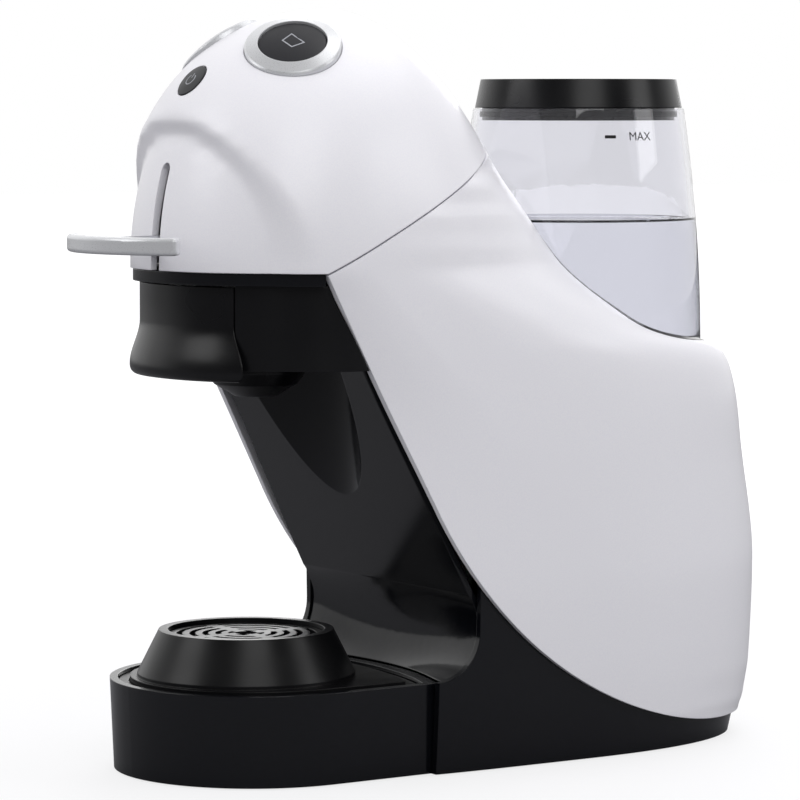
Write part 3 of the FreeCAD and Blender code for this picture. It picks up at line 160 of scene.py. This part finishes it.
def clearMaterial(name, look):
    # waves: length of the wall's slow unevenness in millimetres
    material, tree, shader = newMaterial(name, look["colour"], look["sockets"])
    spot = addNode(tree, "ShaderNodeTexCoord").outputs["Object"]
    waves = addNode(tree, "ShaderNodeTexNoise", {"Vector": spot},
                    {"Scale": 1 / (look["waves"] * mm), "Detail": 1})
    bump = addNode(tree, "ShaderNodeBump", {"Height": waves.outputs["Fac"]},
                   {"Strength": look["relief"], "Distance": mm})
    tree.links.new(bump.outputs["Normal"], shader.inputs["Normal"])
    return material


# Moulded ABS with a pearl-white lacquer: a soft broad sheen under a clear coat, faintly lilac in the shade.
# The pearl flakes are some 0.05 mm, too fine to show, so they are drawn at 0.5 mm.
pearlWhiteAbs = mouldedMaterial("pearlWhiteAbs", {
    "colour": "#F3F2F7", "tone": "#EFEEF5", "grain": 0.5, "swell": 30.0, "edge": 0.6, "relief": 0.02,
    "sockets": {"Roughness": 0.4, "IOR": 1.5, "Coat Weight": 0.35, "Coat Roughness": 0.24}})

# Mirror-moulded ABS, black with a breath of navy: deep colour with clear reflections.
# The mould's polish leaves a mottling of about 1 mm that only just stirs them.
mirrorBlackAbs = mouldedMaterial("mirrorBlackAbs", {
    "colour": "#0A0B10", "tone": "#07080C", "grain": 1.2, "swell": 40.0, "edge": 0.5, "relief": 0.012,
    "sockets": {"Roughness": 0.14, "IOR": 1.5}})

# Polished ABS, less than a mirror: long soft highlights on the holder, the lid and the spout.
# The polishing marks are some 0.1 mm and are drawn at 0.8 mm.
polishedBlackAbs = mouldedMaterial("polishedBlackAbs", {
    "colour": "#0B0B0E", "tone": "#08080B", "grain": 0.8, "swell": 30.0, "edge": 0.6, "relief": 0.02,
    "sockets": {"Roughness": 0.3, "IOR": 1.5, "Specular IOR Level": 0.42}})

# Spark-eroded ABS: the mould's texture of about 0.1 mm breaks the reflection up. It is drawn at 0.4 mm.
satinBlackAbs = mouldedMaterial("satinBlackAbs", {
    "colour": "#0C0C0E", "tone": "#08080A", "grain": 0.4, "swell": 25.0, "edge": 0.5, "relief": 0.06,
    "sockets": {"Roughness": 0.34, "IOR": 1.5, "Specular IOR Level": 0.36}})

# Soft-touch charcoal cap: a dull sheen that keeps the cap darker than its ring. Texture drawn at 0.3 mm.
charcoalCap = mouldedMaterial("charcoalCap", {
    "colour": "#26262B", "tone": "#212126", "grain": 0.3, "swell": 12.0, "edge": 0.3, "relief": 0.05,
    "sockets": {"Roughness": 0.42, "IOR": 1.5}})

# Moulded grey polypropylene: a dry, even grey for the collar and the working pieces inside.
# Its fine texture is drawn at 0.5 mm.
greyPolypropylene = mouldedMaterial("greyPolypropylene", {
    "colour": "#8E8F93", "tone": "#86878B", "grain": 0.5, "swell": 18.0, "edge": 0.3, "relief": 0.08,
    "sockets": {"Roughness": 0.42, "IOR": 1.49}})

# Moulded rubber: matt, with the fine bloom of the mould. Texture drawn at 0.5 mm.
blackRubber = mouldedMaterial("blackRubber", {
    "colour": "#1A1A1B", "tone": "#141415", "grain": 0.5, "swell": 10.0, "edge": 0.3, "relief": 0.2,
    "sockets": {"Roughness": 0.75, "IOR": 1.52}})

# Extruded silicone hose: milky and slightly shiny, with the die's faint marks drawn at 0.8 mm.
siliconeHose = mouldedMaterial("siliconeHose", {
    "colour": "#DCDBD4", "tone": "#D2D1CA", "grain": 0.8, "swell": 14.0, "edge": 0.2, "relief": 0.05,
    "sockets": {"Roughness": 0.4, "IOR": 1.41, "Subsurface Weight": 0.2}})

# Solder-masked glass laminate: green with the weave just showing, drawn at 0.8 mm.
boardLaminate = mouldedMaterial("boardLaminate", {
    "colour": "#1F6B3A", "tone": "#1A5C32", "grain": 0.8, "swell": 10.0, "edge": 0.1, "relief": 0.08,
    "sockets": {"Roughness": 0.3, "IOR": 1.52}})

# Satin-anodised aluminium: bright metal with soft edges, bead-blasted grit of 0.1 mm drawn at 0.3 mm.
satinAluminium = metalMaterial("satinAluminium", {
    "colour": "#D6D7DB", "along": (1.0, 1.0, 1.0), "grain": 0.3, "edge": 0.7, "relief": 0.015,
    "sockets": {"Roughness": 0.34, "Metallic": 1.0}})

# Sprayed silver lacquer: pearl metal flakes under a clear coat, a paler and wider sheen than bare metal.
# The flakes are some 0.05 mm and are drawn at 0.25 mm.
silverLacquer = metalMaterial("silverLacquer", {
    "colour": "#E4E5E8", "along": (1.0, 1.0, 1.0), "grain": 0.25, "edge": 0.5, "relief": 0.04,
    "sockets": {"Roughness": 0.34, "Metallic": 0.45, "Coat Weight": 0.3, "Coat Roughness": 0.15}})

# Turned stainless steel: fine marks round the piece, 0.05 mm apart in life and drawn at 0.4 mm.
turnedSteel = metalMaterial("turnedSteel", {
    "colour": "#B9BABC", "along": (0.2, 0.2, 1.0), "grain": 0.4, "edge": 0.2, "relief": 0.15,
    "sockets": {"Roughness": 0.28, "Metallic": 1.0}})

# Die-cast aluminium: dull, with the cast skin's mottling of about 1 mm.
castAluminium = metalMaterial("castAluminium", {
    "colour": "#A9AAAC", "along": (1.0, 1.0, 1.0), "grain": 1.0, "edge": 0.4, "relief": 0.25,
    "sockets": {"Roughness": 0.5, "Metallic": 1.0}})

# Blown clear copolyester: water-clear, with a slight waviness of the wall every 25 mm.
clearCopolyester = clearMaterial("clearCopolyester", {
    "colour": "#EDEDF1", "waves": 25.0, "relief": 0.02,
    "sockets": {"Roughness": 0.01, "IOR": 1.45, "Transmission Weight": 1.0}})

# Still tap water: clear, with a hardly seen ripple.
stillWater = clearMaterial("stillWater", {
    "colour": "#EEEFF3", "waves": 15.0, "relief": 0.01,
    "sockets": {"Roughness": 0.0, "IOR": 1.33, "Transmission Weight": 1.0}})

# Pad-printed ink: matt and slightly uneven, drawn at 0.3 mm. Light grey on the caps, near black on the jar.
paleInk = mouldedMaterial("paleInk", {
    "colour": "#A9ABB2", "tone": "#9C9EA5", "grain": 0.3, "swell": 3.0, "edge": 0.02, "relief": 0.05,
    "sockets": {"Roughness": 0.5, "IOR": 1.5}})
darkInk = mouldedMaterial("darkInk", {
    "colour": "#17171A", "tone": "#101012", "grain": 0.3, "swell": 3.0, "edge": 0.02, "relief": 0.05,
    "sockets": {"Roughness": 0.5, "IOR": 1.5}})
print("materials made:", len(bpy.data.materials))


# CAD nodes that keep their own shape, by finish.
finishes = {
    pearlWhiteAbs: ["body_shell", "head_cover"],
    mirrorBlackAbs: ["base_shell", "front_panel", "tray_housing", "rim_band"],
    polishedBlackAbs: ["brew_housing", "pod_holder", "outlet_nozzle", "tank_lid"],
    satinBlackAbs: ["drip_tray", "drip_grille", "cup_stand", "base_plate", "tank_seat", "cord_gland",
                    "boiler_shelf", "power_socket"],
    satinAluminium: ["lever_arm"],
    silverLacquer: ["lever_handle", "brew_bezel_left", "brew_bezel_right"],
    clearCopolyester: ["water_tank"],
    greyPolypropylene: ["tank_collar", "tank_valve", "flow_meter", "brew_piston", "switches",
                        "board_parts"],
    blackRubber: ["rubber_feet", "tray_feet", "seat_seal", "lid_seal", "piston_seal", "pump_mounts"],
    siliconeHose: ["supply_hose", "pressure_hose"],
    turnedSteel: ["base_screws", "bracket_screws", "lever_pin", "piston_pin", "piercing_needle",
                  "lever_bracket"],
    castAluminium: ["boiler", "pump"],
    boardLaminate: ["control_board"],
}
for finish, names in finishes.items():
    for name in names:
        for place in nodes[name].material_slots:
            place.material = finish
print("nodes finished:", sum(len(names) for names in finishes.values()))


# Mesh helpers: a turned form about local Z, and a flat ribbon of ink that follows a line.
smoothAngle = math.radians(35)
ink = {"thick": 0.06, "clear": 0.01, "mitre": 0.3}


def addPiece(name, bm, finish, body, pose):
    bmesh.ops.recalc_face_normals(bm, faces=bm.faces)
    for edge in bm.edges:
        edge.smooth = edge.calc_face_angle(0.0) < smoothAngle
    for face in bm.faces:
        face.smooth = True
    mesh = bpy.data.meshes.new(name)
    bm.to_mesh(mesh)
    bm.free()
    mesh.materials.append(finish)
    piece = bpy.data.objects.new(name, mesh)
    scene.collection.objects.link(piece)
    piece.matrix_world = pose
    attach(piece, body)
    return piece


def turnedForm(profile, steps):
    bm = bmesh.new()
    rings = []
    for radius, height in profile:
        count = steps if radius > 0 else 1
        turns = [2 * math.pi * step / steps for step in range(count)]
        spots = [(radius * math.cos(turn), radius * math.sin(turn), height) for turn in turns]
        rings.append([bm.verts.new(Vector(spot) * mm) for spot in spots])
    for low, high in zip(rings, rings[1:]):
        for step in range(steps):
            corners = [low[step % len(low)], low[(step + 1) % len(low)],
                       high[(step + 1) % len(high)], high[step % len(high)]]
            bm.faces.new(list(dict.fromkeys(corners)))
    return bm


def ribbon(line, width, lift, closed):
    # line: points in millimetres; lift gives the height of the ribbon's faces at a point
    bm = bmesh.new()
    count = len(line)
    rails = []
    for at, point in enumerate(line):
        before = line[at - 1] if closed or at else point
        after = line[(at + 1) % count] if closed or at + 1 < count else point
        inward = (Vector(point) - Vector(before)).normalized() if before != point else None
        onward = (Vector(after) - Vector(point)).normalized() if after != point else inward
        inward = inward or onward
        normal = Vector((-(inward + onward).y, (inward + onward).x)).normalized()
        reach = width / 2 / max(ink["mitre"], normal.dot(Vector((-onward.y, onward.x))))
        rails.append([Vector(point) + normal * reach, Vector(point) - normal * reach])
    layers = []
    for rise in (0.0, ink["thick"]):
        spots = [[Vector((spot.x, spot.y, lift(spot) + rise)) for spot in pair] for pair in rails]
        layers.append([[bm.verts.new(spot * mm) for spot in pair] for pair in spots])
    low, high = layers
    for at in range(count if closed else count - 1):
        nextAt = (at + 1) % count
        bm.faces.new((high[at][0], high[at][1], high[nextAt][1], high[nextAt][0]))
        bm.faces.new((low[at][0], low[nextAt][0], low[nextAt][1], low[at][1]))
        for side in (0, 1):
            bm.faces.new((low[at][side], high[at][side], high[nextAt][side], low[nextAt][side]))
    if not closed:
        for at in (0, count - 1):
            bm.faces.new((low[at][0], low[at][1], high[at][1], high[at][0]))
    return bm


# Button caps: domed, with a rounded shoulder and the stem that reaches the switch.
brewCap = {"radius": 12.3, "crown": 0.7, "shoulder": -0.15, "round": 0.5, "under": -3.0,
           "stem": 3.0, "stemEnd": -5.6}
powerCap = {"radius": 6.8, "crown": 0.5, "shoulder": 0.05, "round": 0.35, "under": -2.6,
            "stem": 2.0, "stemEnd": -5.0}
domeSteps = 10
domeBend = 2.2
shoulderSteps = 4
capTurns = 96


def domeHeight(cap, radius):
    share = min(1.0, radius / (cap["radius"] - cap["round"]))
    return cap["crown"] - (cap["crown"] - cap["shoulder"]) * share ** domeBend


def capProfile(cap):
    profile = [(0.0, cap["stemEnd"]), (cap["stem"], cap["stemEnd"]), (cap["stem"], cap["under"]),
               (cap["radius"], cap["under"]), (cap["radius"], cap["shoulder"] - cap["round"])]
    for step in range(1, shoulderSteps):
        turn = math.pi / 2 * step / shoulderSteps
        profile.append((cap["radius"] - cap["round"] * (1 - math.cos(turn)),
                        cap["shoulder"] - cap["round"] * (1 - math.sin(turn))))
    flat = cap["radius"] - cap["round"]
    radii = [flat * (1 - step / domeSteps) for step in range(domeSteps + 1)]
    return profile + [(radius, domeHeight(cap, radius)) for radius in radii]


def capPose(joint):
    # local Z points out of the skin, local X to the machine's right as its user sees it
    out = -Vector(joint["axis"]).normalized()
    across = (Vector((1, 0, 0)) - out * out.x).normalized()
    pose = Matrix((across, out.cross(across), out)).transposed().to_4x4()
    pose.translation = Vector(joint["pos_m"])
    return pose


buttons = [("brewCapLeft", "left_press", "left_button", "brew_button_left", brewCap),
           ("brewCapRight", "right_press", "right_button", "brew_button_right", brewCap),
           ("powerCap", "power_press", "power", "power_button", powerCap)]
for name, joint, body, node, cap in buttons:
    form = turnedForm(capProfile(cap), capTurns)
    piece = addPiece(name, form, charcoalCap, body, capPose(joints[joint]))
    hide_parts(node)

# Printed marks on the caps: the outline of a plain cup, and the usual on and off sign.
cupMark = {"brim": 3.6, "foot": 2.7, "height": 5.0, "line": 0.5}
powerMark = {"radius": 2.3, "gap": 38.0, "bar": 2.1, "barTop": 2.8, "line": 0.42, "steps": 24}


def onCap(cap):
    return lambda spot: domeHeight(cap, spot.length) + ink["clear"]


cupLine = [(-cupMark["brim"], cupMark["height"] / 2), (cupMark["brim"], cupMark["height"] / 2),
           (cupMark["foot"], -cupMark["height"] / 2), (-cupMark["foot"], -cupMark["height"] / 2)]
for side in ("left", "right"):
    mark = ribbon(cupLine, cupMark["line"], onCap(brewCap), True)
    pose = capPose(joints[side + "_press"])
    addPiece("cupMark_" + side, mark, paleInk, side + "_button", pose)

turnStart = 90 + powerMark["gap"]
turnSpan = 360 - 2 * powerMark["gap"]
arcSteps = powerMark["steps"]
turns = [math.radians(turnStart + turnSpan * step / arcSteps) for step in range(arcSteps + 1)]
arcLine = [(powerMark["radius"] * math.cos(turn), powerMark["radius"] * math.sin(turn)) for turn in turns]
barLine = [(0.0, powerMark["barTop"]), (0.0, powerMark["barTop"] - powerMark["bar"])]
for name, line in (("powerMarkArc", arcLine), ("powerMarkBar", barLine)):
    mark = ribbon(line, powerMark["line"], onCap(powerCap), False)
    addPiece(name, mark, paleInk, "power", capPose(joints["power_press"]))
print("caps and marks made")


# Water in the jar, up to the level in the photograph, with a meniscus at the wall.
# It reaches a little into the wall, so that the two never part into a gap of air.
jar = {"axisY": 73.5, "floor": 126.2, "mouthHeight": 243.6, "floorRadius": 45.1, "mouthRadius": 38.7,
       "bulge": 2.71, "wall": 2.2}
water = {"level": 200.4, "meniscus": 1.1, "reach": 2.6, "bend": 2.5, "edgeSteps": 5,
         "rings": (0.6, 0.3, 0.0), "steps": 12, "overlap": 0.35, "turns": 128}


def jarRadius(height):
    share = (height - jar["floor"]) / (jar["mouthHeight"] - jar["floor"])
    bow = 4 * jar["bulge"] * share * (1 - share)
    return jar["floorRadius"] + (jar["mouthRadius"] - jar["floorRadius"]) * share + bow


waterTop = water["level"] + water["meniscus"]
waterRise = (waterTop - jar["floor"]) / water["steps"]
sideHeights = [jar["floor"] + waterRise * step for step in range(water["steps"] + 1)]
waterProfile = [(0.0, jar["floor"] - water["overlap"])]
waterProfile += [(jarRadius(height) + water["overlap"], height) for height in sideHeights]
edgeRadius = jarRadius(water["level"])
for step in range(1, water["edgeSteps"] + 1):
    share = step / water["edgeSteps"]
    height = water["level"] + water["meniscus"] * (1 - share) ** water["bend"]
    waterProfile.append((edgeRadius - water["reach"] * share, height))
waterProfile += [(edgeRadius * share, water["level"]) for share in water["rings"]]
jarPose = Matrix.Translation((0, jar["axisY"] * mm, 0))
addPiece("tankWater", turnedForm(waterProfile, water["turns"]), stillWater, "tank", jarPose)

# Level mark: a dash and the word for the highest level, printed round the jar's outside.
levelMark = {"height": 233.0, "dashAngle": -19.2, "dashLong": 4.4, "dashThick": 1.2, "wordAngle": -2.4,
             "wordHigh": 4.6, "proud": 0.04}


def wrapOnJar(bm, angle):
    # local X runs round the jar and local Y up it
    for vert in bm.verts:
        height = levelMark["height"] + vert.co.y
        radius = jarRadius(height) + jar["wall"] + levelMark["proud"] + vert.co.z
        turn = math.radians(angle) + vert.co.x / radius
        vert.co = (radius * mm * math.cos(turn), radius * mm * math.sin(turn), height * mm)
    return bm


dash = bmesh.new()
dashEnds = (-levelMark["dashLong"] / 2, 0.0, levelMark["dashLong"] / 2)
dashRows = [[dash.verts.new((x, y, 0)) for x in dashEnds]
            for y in (-levelMark["dashThick"] / 2, levelMark["dashThick"] / 2)]
for at in range(len(dashEnds) - 1):
    dash.faces.new((dashRows[0][at], dashRows[0][at + 1], dashRows[1][at + 1], dashRows[1][at]))
addPiece("levelDash", wrapOnJar(dash, levelMark["dashAngle"]), darkInk, "tank", jarPose)

lettering = bpy.data.curves.new("levelWord", "FONT")
lettering.body = "MAX"
lettering.size = levelMark["wordHigh"]
lettering.align_x = "CENTER"
lettering.align_y = "CENTER"
letters = bpy.data.objects.new("levelWordCurve", lettering)
word = bmesh.new()
wordMesh = bpy.data.meshes.new_from_object(letters)
word.from_mesh(wordMesh)
bpy.data.meshes.remove(wordMesh)
bpy.data.objects.remove(letters)
bpy.data.curves.remove(lettering)
addPiece("levelWord", wrapOnJar(word, levelMark["wordAngle"]), darkInk, "tank", jarPose)
print("water and level mark made")


# Studio: a pale floor, soft boxes, and a world that is white to the eye and to clear pieces.
# Gloss sees it bright behind the machine and dim in front, as before a lit backdrop. Sizes in metres.
studio = {"floorReach": 8.0, "floorGrey": "#747478", "nearGlow": 0.76, "farGlow": 1.0, "glowFrom": 0.35,
          "glowTo": 1.3, "floorRough": 0.9, "white": "#FFFFFF", "ambient": 0.72, "dimGloss": 0.07,
          "brightGloss": 0.95, "glossFrom": -0.1, "glossTo": 0.8, "aimHeight": 0.15}
softBoxes = [
    {"name": "frontBox", "place": (-0.45, -1.25, 1.0), "size": 0.8, "power": 4.5},
    {"name": "overheadBox", "place": (0.15, 0.55, 1.35), "size": 0.9, "power": 4.0},
    {"name": "fillBox", "place": (1.3, -0.5, 1.1), "size": 0.9, "power": 5.6},
    {"name": "sideBox", "place": (1.2, 1.1, 0.8), "size": 0.7, "power": 3.5},
    {"name": "backBox", "place": (-1.0, 0.9, 0.7), "size": 0.8, "power": 5.0},
]

floorMesh = bpy.data.meshes.new("paleFloor")
reach = studio["floorReach"]
floorCorners = [(-reach, -reach, 0), (reach, -reach, 0), (reach, reach, 0), (-reach, reach, 0)]
floorMesh.from_pydata(floorCorners, [], [(0, 1, 2, 3)])
floor = bpy.data.objects.new("paleFloor", floorMesh)
scene.collection.objects.link(floor)
floorPaint, floorTree, floorShader = newMaterial("paleFloorPaint", studio["floorGrey"],
                                                 {"Roughness": studio["floorRough"]})
floorSpot = addNode(floorTree, "ShaderNodeTexCoord").outputs["Object"]
floorFar = addNode(floorTree, "ShaderNodeVectorMath", {0: floorSpot}, operation="LENGTH")
floorGlow = addNode(floorTree, "ShaderNodeMapRange", {"Value": floorFar.outputs["Value"]},
                    {"From Min": studio["glowFrom"], "From Max": studio["glowTo"],
                     "To Min": studio["nearGlow"], "To Max": studio["farGlow"]},
                    interpolation_type="SMOOTHSTEP")
floorRay = addNode(floorTree, "ShaderNodeLightPath")
floorSeen = addNode(floorTree, "ShaderNodeMath",
                    {0: floorRay.outputs["Is Camera Ray"], 1: floorRay.outputs["Is Transmission Ray"]},
                    operation="MAXIMUM")
floorShine = addNode(floorTree, "ShaderNodeMath",
                     {0: floorGlow.outputs["Result"], 1: floorSeen.outputs["Value"]}, operation="MULTIPLY")
floorTree.links.new(floorShine.outputs["Value"], floorShader.inputs["Emission Strength"])
floorShader.inputs["Emission Color"].default_value = linear(studio["white"])
floorMesh.materials.append(floorPaint)

world = bpy.data.worlds.new("paleStudio")
world.use_nodes = True
scene.world = world
sky = world.node_tree
backdrop = sky.nodes["Background"]
backdrop.inputs["Color"].default_value = linear(studio["white"])
skyRay = addNode(sky, "ShaderNodeLightPath")
skySpot = addNode(sky, "ShaderNodeTexCoord").outputs["Generated"]
skySide = addNode(sky, "ShaderNodeVectorMath", {0: skySpot}, {1: -towardsCamera}, operation="DOT_PRODUCT")
skyGloss = addNode(sky, "ShaderNodeMapRange", {"Value": skySide.outputs["Value"]},
                   {"From Min": studio["glossFrom"], "From Max": studio["glossTo"],
                    "To Min": studio["dimGloss"], "To Max": studio["brightGloss"]},
                   interpolation_type="SMOOTHSTEP")
skyPick = addNode(sky, "ShaderNodeMapRange",
                  {"Value": skyRay.outputs["Is Glossy Ray"], "To Max": skyGloss.outputs["Result"]},
                  {"To Min": studio["ambient"]})
skySeen = addNode(sky, "ShaderNodeMath",
                  {0: skyRay.outputs["Is Camera Ray"], 1: skyRay.outputs["Is Transmission Ray"]},
                  operation="MAXIMUM")
skyLevel = addNode(sky, "ShaderNodeMath", {0: skyPick.outputs["Result"], 1: skySeen.outputs["Value"]},
                   operation="MAXIMUM")
sky.links.new(skyLevel.outputs["Value"], backdrop.inputs["Strength"])

for box in softBoxes:
    lamp = bpy.data.lights.new(box["name"], "AREA")
    lamp.size = box["size"]
    lamp.energy = box["power"]
    light = bpy.data.objects.new(box["name"], lamp)
    scene.collection.objects.link(light)
    light.location = box["place"]
    aim = Vector((0, 0, studio["aimHeight"])) - Vector(box["place"])
    light.rotation_euler = aim.to_track_quat("-Z", "Y").to_euler()
scene.view_settings.view_transform = "Standard"
print("studio lit")
